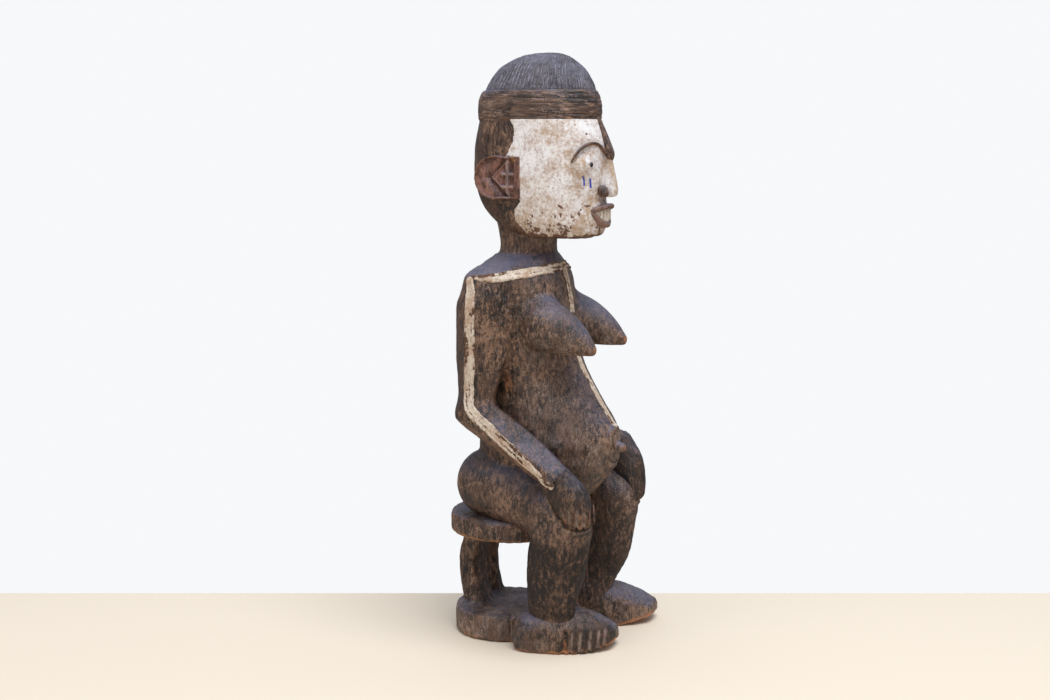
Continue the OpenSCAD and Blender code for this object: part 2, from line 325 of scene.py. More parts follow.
def make_piece(node, p, q, normal, masks, material):
    """One closed piece. Where it was cut from its neighbours, its rim is closed by a fan."""
    used = np.unique(q)
    back = np.full(len(p), -1, np.int64)
    back[used] = np.arange(len(used))
    q = back[q]
    p, normal, masks = p[used], normal[used], masks[used]
    edges = np.vstack([q[:, [i, (i + 1) % 4]] for i in range(4)])
    size = len(p)
    code = edges[:, 0] * size + edges[:, 1]
    rim = edges[~np.isin(code, edges[:, 1] * size + edges[:, 0])]
    faces = q.tolist()
    extra = []
    if len(rim):
        group = {}

        def root(v):
            while group.setdefault(v, v) != v:
                group[v] = group[group[v]]
                v = group[v]
            return v

        for a, b in rim.tolist():
            group[root(a)] = root(b)
        loops = {}
        for a, b in rim.tolist():
            loops.setdefault(root(a), []).append((a, b))
        for loop in loops.values():
            middle = size + len(extra)
            extra.append(p[[a for a, _ in loop]].mean(0))
            faces += [(b, a, middle) for a, b in loop]
    if extra:
        p = np.vstack([p, extra])
        normal = np.vstack([normal, np.tile([0, 0, 1.0], (len(extra), 1))])
        masks = np.vstack([masks, np.zeros((len(extra), 4))])
    mesh = bpy.data.meshes.new(node + "_carved")
    mesh.from_pydata((p * MM).tolist(), [], faces)
    mesh.polygons.foreach_set("use_smooth", np.ones(len(mesh.polygons), bool))
    mesh.normals_split_custom_set_from_vertices(normal.tolist())
    layer = mesh.attributes.new("mask", "FLOAT_COLOR", "POINT")
    layer.data.foreach_set("color", masks.astype(np.float32).ravel())
    piece = bpy.data.objects.new(node + "_carved", mesh)
    bpy.context.scene.collection.objects.link(piece)
    mesh.materials.append(material)
    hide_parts(node)
    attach(piece, "root")


def masks_of(block, p):
    """Wear on ridges, and painted shade with some dirt darkening the hollows; the pale and tinted areas are painted
    on afterwards.
    """
    near, wide = block.bulge(p, 1.7), block.bulge(p, 4.8)
    wear = ease(0.12, 0.55, near) * 0.8 + ease(0.35, 1.6, wide) * 0.5
    hollow = ease(0.08, 0.45, -near) * 0.8 + ease(0.25, 1.3, -wide) * 0.7
    return np.stack([unit(wear), unit(hollow), np.zeros(len(p)), np.zeros(len(p))], 1)


def cut_up(block, paint=None, shape=None, skip=()):
    """Meshes the whole block once and cuts it along its owners, so that the seams don't show."""
    p, q = block.mesh()
    n = normals_of(p, q)
    masks = masks_of(block, p)
    if shape is not None:
        p = p + n * shape(p)[:, None]
        n = normals_of(p, q)
    if paint is not None:
        paint(p, n, masks)
    middle = p[q].mean(1)
    at = np.clip(np.round(middle / block.step).astype(int) - block.lo, 0, block.n - 1)
    owner = block.owner[at[:, 0], at[:, 1], at[:, 2]]
    for i, name in enumerate(block.names):
        if name not in skip and (owner == i).any():
            make_piece(name, p, q[owner == i], n, masks, material_of(name))


# ---- materials ----

PAINTED_SKY_SHEEN = (0.088, 0.096, 0.152)  # painted sheen: the grey-blue of the sky reflected on upward faces
INK = (0.05, 0.06, 0.40)


class Shader:
    def __init__(self, name):
        self.material = bpy.data.materials.new(name)
        self.material.use_nodes = True
        self.tree = self.material.node_tree
        self.tree.nodes.clear()
        self.out = self.node("ShaderNodeOutputMaterial")
        self.bsdf = self.node("ShaderNodeBsdfPrincipled")
        self.tree.links.new(self.bsdf.outputs[0], self.out.inputs[0])
        self.where = self.node("ShaderNodeTexCoord").outputs["Object"]

    def node(self, kind, inputs=None, **settings):
        made = self.tree.nodes.new(kind)
        for key, value in settings.items():
            setattr(made, key, value)
        for key, value in (inputs or {}).items():
            if isinstance(value, bpy.types.NodeSocket):
                self.tree.links.new(value, made.inputs[key])
            else:
                made.inputs[key].default_value = value
        return made

    def stretched(self, x, y, z):
        return self.node("ShaderNodeMapping", {"Vector": self.where, "Scale": (x, y, z)}).outputs[0]

    def noise(self, scale, detail=3.0, rough=0.55, distort=0.0, at=None):
        return self.node("ShaderNodeTexNoise", {
            "Vector": at or self.where, "Scale": scale, "Detail": detail, "Roughness": rough,
            "Distortion": distort}).outputs["Fac"]

    def mix(self, a, b, factor):
        made = self.node("ShaderNodeMix", data_type="RGBA")
        for socket, value in ((made.inputs[0], factor), (made.inputs[6], a), (made.inputs[7], b)):
            if isinstance(value, bpy.types.NodeSocket):
                self.tree.links.new(value, socket)
            else:
                socket.default_value = value if isinstance(value, float) else (*value, 1)
        return made.outputs[2]

    def math(self, what, a, b=0.0, clamp=False):
        return self.node("ShaderNodeMath", {0: a, 1: b}, operation=what, use_clamp=clamp).outputs[0]

    def plus(self, a, b, clamp=False):
        return self.math("ADD", a, b, clamp)

    def times(self, a, b, clamp=False):
        return self.math("MULTIPLY", a, b, clamp)

    def step(self, value, lo, hi, top=1.0):
        return self.node("ShaderNodeMapRange", {
            "Value": value, "From Min": lo, "From Max": hi, "To Min": 0.0, "To Max": top},
            interpolation_type="SMOOTHSTEP").outputs[0]

    def masks(self):
        layer = self.node("ShaderNodeAttribute", attribute_name="mask")
        split = self.node("ShaderNodeSeparateColor", {0: layer.outputs["Color"]})
        return [*split.outputs, layer.outputs["Alpha"]]

    def bump(self, height, distance, strength=1.0, after=None):
        inputs = {"Height": height, "Distance": distance, "Strength": strength}
        if after:
            inputs["Normal"] = after
        return self.node("ShaderNodeBump", inputs).outputs[0]


def carved_wood(name, deep, mid, dusty, worn, gloss=0.42, dust=0.5, wear=1.0, grain_scale=(1.0, 1.0, 0.16),
        mottle_scale=(1.0, 1.0, 0.55), chalk=(0.30, 0.22, 0.18), sky=0.72):
    """Dark patinated wood: mottled, greyer where handled and dusty, bare and orange on worn edges; upward faces get a
    painted grey-blue sky sheen and hollows a painted shade.
    """
    s = Shader(name)
    ridge, hollow, pale, tint = s.masks()
    cloud = s.noise(19.0, 3.0, 0.55)
    mottle = s.noise(85.0, 7.0, 0.76, 0.6, s.stretched(*mottle_scale))
    second_mottle = s.noise(230.0, 6.0, 0.78, 0.4, s.stretched(*mottle_scale))
    grain = s.noise(520.0, 4.0, 0.65, 0.3, s.stretched(*grain_scale))
    speck = s.noise(1050.0, 2.0, 0.6)
    colour = s.mix(deep, mid, s.step(mottle, 0.42, 0.57))
    colour = s.mix(colour, [c * 0.55 for c in dusty], s.step(grain, 0.52, 0.62, 0.6))
    film = s.plus(s.times(second_mottle, 0.75), s.times(speck, 0.35))
    film = s.plus(film, s.times(cloud, 0.35))
    colour = s.mix(colour, dusty, s.times(s.step(film, 0.735, 0.83), dust))
    # Painted sheen: faces turned upward are mixed toward grey-blue, a sky reflection painted into the colour.
    up = s.node("ShaderNodeSeparateXYZ", {0: s.node("ShaderNodeNewGeometry").outputs["Normal"]}).outputs[2]
    sheen = s.times(s.step(up, 0.1, 0.9, sky), s.step(s.plus(cloud, s.times(grain, 0.4)), 0.55, 0.8))
    colour = s.mix(colour, PAINTED_SKY_SHEEN, sheen)
    # Painted shade: hollows are darkened toward the deep tone, with some dirt there too.
    colour = s.mix(colour, [c * 0.9 for c in deep], s.times(hollow, s.step(second_mottle, 0.85, 0.35, 0.95)))
    rub = s.times(ridge, s.step(s.noise(150.0, 5.0, 0.75), 0.44, 0.60))
    rub = s.plus(rub, s.step(s.noise(60.0, 8.0, 0.8, 0.8), 0.66, 0.72, 0.6), clamp=True)
    bare = s.times(tint, s.step(s.plus(second_mottle, s.times(tint, 0.35)), 0.55, 0.75))
    colour = s.mix(colour, worn, s.times(rub, wear, clamp=True))
    colour = s.mix(colour, worn, bare)
    colour = s.mix(colour, chalk, s.times(pale, s.step(s.plus(speck, second_mottle), 0.80, 1.14)))
    s.tree.links.new(colour, s.bsdf.inputs["Base Color"])
    shine = s.node("ShaderNodeMapRange", {
        "Value": s.plus(second_mottle, s.times(grain, 0.4)), "From Min": 0.5, "From Max": 0.9,
        "To Min": gloss - 0.08, "To Max": gloss + 0.30})
    matt = s.plus(shine.outputs[0], s.times(hollow, 0.3), clamp=True)
    s.tree.links.new(matt, s.bsdf.inputs["Roughness"])
    s.bsdf.inputs["Specular IOR Level"].default_value = 0.42
    first = s.bump(s.plus(mottle, s.times(second_mottle, 0.6)), 0.0010, 0.8)
    second = s.bump(s.plus(grain, s.times(speck, 0.6)), 0.0007, 1.0, first)
    s.tree.links.new(second, s.bsdf.inputs["Normal"])
    return s.material


def kaolin(name, clean, stain, ochre, brown, streaks=False, flake_at=0.86):
    """Chalky white clay rubbed on wood: blotchy, stained and flaked to the wood in places."""
    s = Shader(name)
    _, flake, stained, ink = s.masks()
    blotch = s.noise(55.0, 7.0, 0.72, 0.6)
    fine = s.noise(330.0, 6.0, 0.75, 0.4)
    grit = s.noise(1200.0, 2.0, 0.6)
    along = s.noise(420.0, 4.0, 0.7, 0.2, s.stretched(1.0, 1.0, 0.12))
    mixed = s.plus(s.times(blotch, 0.55), s.times(fine, 0.8))
    mixed = s.plus(mixed, s.times(grit, 0.3))
    colour = s.mix(clean, stain, s.step(mixed, 0.76, 0.97, 0.9))
    colour = s.mix(colour, ochre, s.times(stained, s.step(s.plus(fine, blotch), 0.7, 1.15, 0.9)))
    lines = s.times(s.step(along, 0.52, 0.64), 0.75 if streaks else 0.18)
    colour = s.mix(colour, stain, lines)
    pits = s.step(s.plus(fine, s.times(grit, 0.5)), 0.86, 1.0)
    colour = s.mix(colour, brown, s.times(pits, 0.7 if streaks else 0.5))
    chips = s.step(s.plus(s.times(flake, 0.55), fine), flake_at, flake_at + 0.12)
    colour = s.mix(colour, brown, chips)
    colour = s.mix(colour, INK, ink)
    s.tree.links.new(colour, s.bsdf.inputs["Base Color"])
    s.bsdf.inputs["Roughness"].default_value = 0.85
    s.bsdf.inputs["Specular IOR Level"].default_value = 0.25
    first = s.bump(blotch, 0.0010, 0.6)
    second = s.bump(s.plus(fine, s.times(grit, 0.5)), 0.0006, 0.9, first)
    s.tree.links.new(second, s.bsdf.inputs["Normal"])
    return s.material


DARK = carved_wood("patinated_wood", (0.0075, 0.0038, 0.0025), (0.070, 0.034, 0.020), (0.31, 0.175, 0.105),
    (0.38, 0.15, 0.055), gloss=0.29, dust=0.8)
HANDLED = carved_wood("handled_wood", (0.008, 0.004, 0.0028), (0.066, 0.033, 0.020), (0.27, 0.155, 0.10),
    (0.38, 0.15, 0.055), gloss=0.33, dust=0.9)
HAIR_WOOD = carved_wood("hair_wood", (0.012, 0.010, 0.011), (0.070, 0.056, 0.060), (0.19, 0.165, 0.18),
    (0.36, 0.15, 0.055), gloss=0.42, dust=0.7, wear=0.5, chalk=(0.33, 0.30, 0.35))
BAND_WOOD = carved_wood("band_wood", (0.013, 0.007, 0.005), (0.105, 0.054, 0.034), (0.31, 0.20, 0.145),
    (0.42, 0.20, 0.09), gloss=0.38, dust=0.9, grain_scale=(0.14, 0.14, 0.9),
    mottle_scale=(0.25, 0.25, 1.4))
STOOL = carved_wood("stool_wood", (0.009, 0.005, 0.0035), (0.090, 0.046, 0.028), (0.36, 0.225, 0.155),
    (0.40, 0.17, 0.055), gloss=0.5, dust=0.9, wear=0.8)
LIP_WOOD = carved_wood("lip_wood", (0.070, 0.036, 0.024), (0.22, 0.12, 0.085), (0.36, 0.235, 0.18),
    (0.38, 0.18, 0.08), gloss=0.45, dust=0.8, wear=0.5)
EAR = carved_wood("ear_wood", (0.050, 0.018, 0.011), (0.27, 0.115, 0.078), (0.36, 0.20, 0.155),
    (0.40, 0.19, 0.08), gloss=0.4, dust=0.5, wear=0.3, chalk=(0.36, 0.29, 0.26))
FACE = kaolin("face_kaolin", (0.80, 0.765, 0.74), (0.46, 0.34, 0.29), (0.42, 0.28, 0.17), (0.15, 0.08, 0.05))
STRIPE = kaolin("stripe_kaolin", (0.64, 0.55, 0.44), (0.36, 0.23, 0.15), (0.36, 0.20, 0.11), (0.10, 0.05, 0.028),
    streaks=True, flake_at=0.84)
TOOTH = kaolin("tooth_white", (0.72, 0.64, 0.55), (0.45, 0.32, 0.24), (0.36, 0.24, 0.14), (0.12, 0.07, 0.04))
BLACK = carved_wood("pupil_black", (0.004, 0.003, 0.003), (0.006, 0.005, 0.004), (0.008, 0.007, 0.006),
    (0.008, 0.007, 0.006), gloss=0.4, dust=0.2, wear=0.0, sky=0.0)
BY_SLOT = {"dark_wood": DARK, "stool_wood": STOOL, "ear_wood": EAR, "face_kaolin": FACE,
    "stripe_kaolin": STRIPE, "tooth_white": TOOTH, "pupil_black": BLACK}


def material_of(node):
    if node.startswith("thigh"):
        return HANDLED
    if node == "hair_cap":
        return HAIR_WOOD
    if node == "headband":
        return BAND_WOOD
    if node.endswith("lip"):
        return LIP_WOOD
    return BY_SLOT[slot_of(node)]


azimuth = math.radians(-65)
back = Vector((math.sin(azimuth), -math.cos(azimuth), 0))
target = Vector((-0.0104, -0.0267, 0))
camera = bpy.data.objects.new("camera", bpy.data.cameras.new("camera"))
bpy.context.scene.collection.objects.link(camera)
camera.data.lens, camera.data.sensor_width = 50, 36
camera.location = target + back * 1.495 + Vector((0, 0, 0.530))
pitch = math.atan(220 / 1458.33)
look = -back * math.cos(pitch) - Vector((0, 0, math.sin(pitch)))
camera.rotation_mode = "QUATERNION"
camera.rotation_quaternion = look.to_track_quat("-Z", "Y")
bpy.context.scene.camera = camera


def lamp(name, place, aim, size, power, colour):
    data = bpy.data.lights.new(name, "AREA")
    data.shape, data.size, data.energy, data.color = "DISK", size, power, colour
    made = bpy.data.objects.new(name, data)
    bpy.context.scene.collection.objects.link(made)
    made.location = place
    made.rotation_mode = "QUATERNION"
    made.rotation_quaternion = (Vector(aim) - Vector(place)).to_track_quat("-Z", "Y")


lamp("sky", (-0.5, -0.7, 2.3), (0, 0, 0.3), 1.5, 50, (0.86, 0.92, 1.0))
lamp("fill", (-1.9, 0.9, 1.2), (0, 0, 0.3), 1.2, 8, (1.0, 0.97, 0.93))
world = bpy.data.worlds.new("studio")
bpy.context.scene.world = world
world.use_nodes = True
nodes, links = world.node_tree.nodes, world.node_tree.links
# Light falls off from a pale blue sky to a warm dark ground; the backdrop itself is seen as plain pale grey.
high = nodes.new("ShaderNodeSeparateXYZ")
remap = nodes.new("ShaderNodeMapRange")
remap.inputs["From Min"].default_value = -1.0
ramp = nodes.new("ShaderNodeValToRGB")
stops = ramp.color_ramp.elements
stops[0].position, stops[0].color = 0.0, (0.17, 0.155, 0.14, 1)
stops[1].position, stops[1].color = 1.0, (1.0, 1.08, 1.25, 1)
stops.new(0.45).color = (0.30, 0.295, 0.30, 1)
lit, seen = nodes["Background"], nodes.new("ShaderNodeBackground")
lit.inputs[1].default_value = 0.78
seen.inputs[0].default_value = (0.93, 0.94, 0.955, 1)
both = nodes.new("ShaderNodeMixShader")
for out, to in ((nodes.new("ShaderNodeTexCoord").outputs["Generated"], high.inputs[0]),
        (high.outputs[2], remap.inputs["Value"]), (remap.outputs[0], ramp.inputs[0]),
        (ramp.outputs[0], lit.inputs[0]), (lit.outputs[0], both.inputs[1]), (seen.outputs[0], both.inputs[2]),
        (nodes.new("ShaderNodeLightPath").outputs["Is Camera Ray"], both.inputs[0]),
        (both.outputs[0], nodes["World Output"].inputs[0])):
    links.new(out, to)
bpy.context.scene.view_settings.view_transform = "Standard"


def lay_floor(near, far, half_width, colour, roughness):
    """A level floor from that far in front of the figure to that far behind it."""
    across = Vector((-back.y, back.x, 0)) * half_width
    verts = [target - back * d + w for d, w in ((-near, -across), (-near, across), (far, across), (far, -across))]
    mesh = bpy.data.meshes.new("floor")
    mesh.from_pydata(verts, [], [(0, 1, 2, 3)])
    made = bpy.data.objects.new("floor", mesh)
    bpy.context.scene.collection.objects.link(made)
    s = Shader("floor")
    s.bsdf.inputs["Base Color"].default_value = (*colour, 1)
    s.bsdf.inputs["Roughness"].default_value = roughness
    mesh.materials.append(s.material)


lay_floor(6, 0.132, 6, (0.76, 0.64, 0.49), 0.7)


# ---- the figure's body ----

body = Block((-96, -146, 16), (96, 48, 450), 1.0)


def leg_shapes(block, side):
    out, ahead = (0, 0) if side == RIGHT else (6, 9)
    x = side * LEG_X + out
    thigh = block.eggs([
        (side * 30, 2, 165, 31, 38, 37), (side * 38, -24, 160, 26, 34, 35),
        (side * (LEG_X - 6) + out / 2, -54 - ahead / 2, 152, 24, 30, 31), (x, -87 - ahead, 142, 24, 31, 28)])
    shin = block.eggs([
        (x, -86 - ahead, 126, 23, 31, 16), (x, -82.5 - ahead, 106, 22, 32, 16),
        (x - side, -79 - ahead, 82, 20, 31, 16), (x - side, -75.5 - ahead / 2, 58, 18, 27, 14),
        (side * (LEG_X - 4.5) + out / 2, -73.5, 38, 15.5, 24.8, 14),
        (side * (LEG_X - 7.5) + out / 2, -73.5, 26, 13, 24.5, 12)])
    return thigh, shin


def arm_shapes(block, side):
    r0, r1 = REACH[side]
    upper = block.eggs([
        (side * (ARM_X - 10), 0, 373, 17, 18, 12), (side * (ARM_X - 3), -0.8, 352, 18, 27.2, 14),
        (side * ARM_X, -1.6, 326, 17, 29.4, 14), (side * (ARM_X + 1), 1.2, 298, 16, 27.2, 14),
        (side * (ARM_X + 2), 3, 272, 15, 23, 14), (side * (ARM_X + 3), 5, 250, 15, 21, 14)])
    fore = block.eggs([
        (side * (ARM_X + 3), 4, 243, 15, 21, 21),
        (side * (ARM_X + 5), -27 + 0.3 * r0, 226 + 0.4 * r1, 15, 20, 21),
        (side * (ARM_X + 7), -56 + 0.8 * r0, 208 + 0.8 * r1, 15, 20, 20),
        (side * (ARM_X + 8), -82 + r0, 190 + r1, 14, 17, 18),
        (side * (ARM_X + 7.5), -88 + r0, 185 + r1, 13.5, 16, 17)])
    for point, normal in (((side * 77.6, 9.5, 300), (side * 0.7, 0.72, 0)),
            ((side * 77.6, -1.5, 300), (side * 0.86, -0.5, 0))):
        upper = bevel(block, upper, point, normal)
    for point, normal in (((side * 82, -26, 234 + 0.5 * r1), (side * 0.72, -0.36, 0.59)),
            ((side * 82, -20, 224 + 0.5 * r1), (side * 0.62, 0.41, -0.67))):
        fore = bevel(block, fore, point, normal)
    return upper, fore


def joined(block, a, b, k):
    """Two shapes in one window, with a fillet between them."""
    whole = np.full(block.n, FAR, np.float32)
    (wa, da), (wb, db) = a, b
    whole[wa] = da
    whole[wb] = soft_min(whole[wb], db, k)
    lo = [min(p.start, q.start) for p, q in zip(wa, wb)]
    hi = [max(p.stop, q.stop) for p, q in zip(wa, wb)]
    w = tuple(slice(i, j) for i, j in zip(lo, hi))
    return w, whole[w]


def claim(block, name, shape):
    """name owns the surface where this shape is the nearest, without changing it."""
    w, d = shape
    if name not in block.names:
        block.names.append(name)
    near = d < block.nearest[w]
    block.owner[w][near] = block.names.index(name)
    block.nearest[w] = np.minimum(block.nearest[w], d)


def bevel(block, shape, point, normal, k=1.5):
    """Planes a flat face on a shape."""
    w, d = shape
    n = np.array(normal, float) / np.linalg.norm(normal)
    x, y, z = block.xyz(w)
    flat = (x - point[0]) * n[0] + (y - point[1]) * n[1] + (z - point[2]) * n[2]
    return w, soft_max(d, flat.astype(np.float32), k)


def hand_rows(side):
    r0, r1 = REACH[side]
    return [
        (side * (ARM_X + 7), -90 + r0, 182 + r1, 14, 16, 18),
        (side * (ARM_X + 5), -102 + 0.7 * r0, 169 + 0.7 * r1, 16, 19, 17),
        (side * (ARM_X + 3), -108 + 0.5 * r0, 156 + 0.3 * r1, 16.3, 19, 14),
        (side * (ARM_X + 1), -111 + 0.5 * r0, 147, 15, 16, 10.5)]


def hand_shape(block, side):
    return block.eggs(hand_rows(side), power=2.2)


def past_hand(p):
    """How far each point lies outside the nearer hand."""
    gap = np.full(len(p), 99.0)
    near = np.flatnonzero((p[:, 2] > 126) & (p[:, 2] < 212) & (p[:, 1] < -66))
    for side in (RIGHT, LEFT):
        for row in curve(hand_rows(side), 4):
            q = np.linalg.norm((p[near] - row[:3]) / row[3:6], axis=1)
            gap[near] = np.minimum(gap[near], (q - 1) * row[3:6].min())
    return gap


body.add("torso", body.loft(TRUNK), 0.1)
body.add("neck", body.loft(NECK, back_power=2.0), 5)
body.names += ["hand_right", "hand_left"]
for side in (RIGHT, LEFT):
    thigh, shin = leg_shapes(body, side)
    claim(body, "thigh_" + SIDE[side], thigh)
    claim(body, "shin_" + SIDE[side], shin)
    body.add("thigh_" + SIDE[side], joined(body, thigh, shin, 10), 3)
    upper, fore = arm_shapes(body, side)
    claim(body, "upper_arm_" + SIDE[side], upper)
    claim(body, "forearm_" + SIDE[side], fore)
    claim(body, "hand_" + SIDE[side], hand_shape(body, side))
    w, d = joined(body, upper, fore, 9)
    height = body.xyz(w)[2]
    body.nearest[w] = np.minimum(body.nearest[w], d)
    body.d[w] = soft_min(body.d[w], d, 1.5 + 13.5 * ease(250, 300, height))
for side in (RIGHT, LEFT):
    w, d = body.eggs([
        (side * (BREAST_X - 6), -58, 335, 25, 20, 29), (side * (BREAST_X - 4), -80, 330, 21, 15, 24),
        (side * (BREAST_X - 2), -98, 322, 15, 12, 17), (side * BREAST_X, -113, 314, 7, 6, 7)])
    x, y, z = body.xyz(w)
    d = soft_max(d, 308.5 + 0.02 * (y + 100) - z, 1.5)
    body.add("breast_" + SIDE[side], (w, d), 1.5 + 6 * ease(318, 345, z))
turn = np.radians(np.arange(0, 361, 24))
body.add("navel", body.eggs([
    (17 * math.cos(t), -125.8 + 7.2 * math.cos(t) ** 2 + 4.0 * math.sin(t) ** 2 * (1.25 if math.sin(t) < 0 else 0.8),
    209 + 19.5 * math.sin(t), 3.4, 3.4, 3.4) for t in turn], steps=3), 3)
body.add("navel", body.eggs([(0, -117.2, 209, 15.5, 8.9, 17)]), 3)
body.add("navel", body.eggs([(0, -124, 209, 6, 6, 6.5), (0, -130.5, 209, 4.8, 5.2, 4.8)]), 2.5)


def raw_hollow(p):
    """1 in the hollow between arm and trunk, which keeps the adze's rough marks."""
    x, y, z = p.T
    side = np.abs(x)
    return (ease(40, 47, side) * ease(76, 70, side) * ease(255, 275, z) * ease(380, 350, z)
        * ease(-10, -24, y) * ease(-80, -62, y))


def body_detail(p):
    _, y, z = p.T
    chest = ease(-58, -80, y) * ease(300, 312, z) * ease(385, 365, z)
    cuts = (scoops(p * (1, 1, 0.55), 15, 5) ** 2 - 0.35) * 0.30 * (1 - 0.9 * chest)
    small = rough(p, 4.0, 11) * 0.16 * (1 - 0.8 * chest)
    crust = raw_hollow(p) * ((scoops(p, 6.5, 21) - 0.5) * 1.1 + rough(p, 3.0, 23) * 0.5)
    shin = ease(120, 60, z) * ease(25, 40, z)
    around_hand = 2.6 * ease(5.5, 1.0, past_hand(p)) * ease(196, 182, z)
    return cuts + small + crust + around_hand - shin * 0.15 * (1 + np.sin(z * 0.9 + noise(p, 30, 4) * 5))


def body_paint(p, n, masks):
    x, y, z = p.T
    side = np.abs(x)
    tip = np.minimum(np.hypot(np.abs(x) - BREAST_X, np.hypot(y + 117, z - 314)), 99)
    knob = np.hypot(x, np.hypot(y + 135, z - 208))
    patch = np.hypot((np.abs(x) - 52) / 9, np.hypot((y + 27) / 8, (z - 277) / 16))
    masks[:, TINT] = unit(ease(6, 2.5, tip) * 0.8 + ease(4.5, 2.5, knob) * 0.6
        + 0.5 * ease(1.3, 0.3, patch + 0.5 * rough(p, 5, 2)))
    cuff = np.hypot((x + 84) / 7, np.hypot((y + 88) / 6, (z - 180) / 6))
    masks[:, TINT] = np.maximum(masks[:, TINT], 0.8 * ease(1.3, 0.4, cuff + 0.4 * rough(p, 4, 17)))
    ring = ease(30, 24, np.hypot(x * 1.3, z - 209)) * ease(-100, -110, y)
    masks[:, RIDGE] *= 1 - 0.8 * ring
    # Painted shade and darker patina together: the shins are darkened, the right one more.
    shin = ease(130, 108, z) * ease(-20, -40, y) * ease(26, 44, z) * np.where(x < 0, 1, 0.5)
    raw = raw_hollow(p)
    masks[:, HOLLOW] = unit(masks[:, HOLLOW] * (1 - 0.5 * ring - 0.5 * raw)
        + 1.35 * shin * (0.85 + 0.4 * noise(p, 25, 9)) + raw * 0.15)
    # Painted shade in the crease round the lower part of each hand.
    gap = past_hand(p)
    masks[:, HOLLOW] = np.maximum(masks[:, HOLLOW], 0.95 * ease(4.0, 1.5, gap) * ease(200, 188, z))
    front = ease(-30, -60, y) * ease(160, 215, z) * ease(64, 54, side) * (1 - 0.85 * ease(-0.1, 0.5, n[:, 2]))
    dusty = 0.34 + 0.14 * ease(330, 350, z) + 0.4 * noise(p, 13, 13) + 0.3 * noise(p, 4, 14)
    masks[:, PALE] = np.clip(front * dusty, 0, 0.8)
    masks[:, PALE] = np.maximum(masks[:, PALE], groove(gap - 4.6, 0.8, 0.6) * ease(172, 160, z))


cut_up(body, body_paint, body_detail, skip=("hand_right", "hand_left"))


# ---- kaolin stripes, laid in shallow beds on the body ----

def body_at(block):
    """The body's distance on another block's grid."""
    d = body.d
    for axis in range(3):
        q = block.axes[axis] / body.step - body.lo[axis]
        i = np.clip(np.floor(q).astype(int), 0, body.n[axis] - 2)
        f = (q - i).astype(np.float32).reshape([-1 if a == axis else 1 for a in range(3)])
        d = np.take(d, i, axis) * (1 - f) + np.take(d, i + 1, axis) * f
    return d


def nearest_on(paths, p, n=None):
    """Distance to a stripe's middle line, its half width there, and the place across and along it."""
    best, wide = np.full(len(p), 99.0), np.ones(len(p))
    across, along = np.zeros(len(p)), np.zeros(len(p))
    for path in paths:
        line = curve(path, 6)
        run = 0
        for a, b in zip(line, line[1:]):
            ab = b[:3] - a[:3]
            size = np.linalg.norm(ab)
            t = unit((p - a[:3]) @ ab / size ** 2)
            off = p - a[:3] - t[:, None] * ab
            d = np.linalg.norm(off, axis=1)
            width = a[3] + (b[3] - a[3]) * t
            closer = d - width < best - wide
            best = np.where(closer, d, best)
            wide = np.where(closer, width, wide)
            if n is not None:
                across = np.where(closer, np.einsum("ij,ij->i", off, np.cross(ab / size, n)), across)
                along = np.where(closer, run + t * size, along)
            run += size
    return best, wide, across, along


def stripe(name, paths, seed, tail=None):
    """Clay in a ragged band along paths of (x, y, z, half width), scratched lengthwise."""
    rows = np.vstack([curve(path, 6) for path in paths])
    block = Block(rows[:, :3].min(0) - 9, rows[:, :3].max(0) + 9, 0.7)
    ground = body_at(block)
    ix = np.argwhere(np.abs(ground) < 3.5)
    p = np.stack([block.axes[i][ix[:, i]] for i in range(3)], 1).astype(np.float64)
    best, wide = nearest_on(paths, p)[:2]
    ragged = 0.6 * noise(p, 7, seed) + 0.5 * noise(p, 2.4, seed + 1)
    lateral = best - wide - ragged
    thick = 0.75 + 0.55 * groove(best - wide + 1.0, 0.9, 1) + 0.18 * np.cos(best * 3.6)
    d = np.full(block.n, FAR, np.float32)
    skin = ground[tuple(ix.T)]
    d[tuple(ix.T)] = np.maximum(np.maximum(lateral, skin - thick), -(skin + 1.4))
    block.d = d
    block.names = [name]

    def shape(q):
        return body_detail(q) * 0.8

    def paint(q, n, masks):
        best, wide, across, along = nearest_on(paths, q, n)
        lines = np.stack([across, along * 0.09, 0 * across], 1)
        scratch = ease(0.0, 0.5, noise(lines, 1.5, seed + 2) + 0.5 * noise(lines * (1, 3, 1), 2.2, seed + 3))
        bald = ease(0.1, 0.8, noise(q, 7, seed + 5) * 0.7 + noise(q, 2.4, seed + 6) * 0.6)
        rim = ease(-1.6, -0.2, best - wide)
        masks[:, HOLLOW] = unit(masks[:, HOLLOW] * 0.3 + bald * 0.4 + scratch * 0.8 + rim * 0.35)
        masks[:, PALE] = unit(0.25 + 0.4 * noise(q, 12, seed + 4))
        if tail is not None:
            masks[:, HOLLOW] = np.maximum(masks[:, HOLLOW], tail(q))

    cut_up(block, paint, shape)


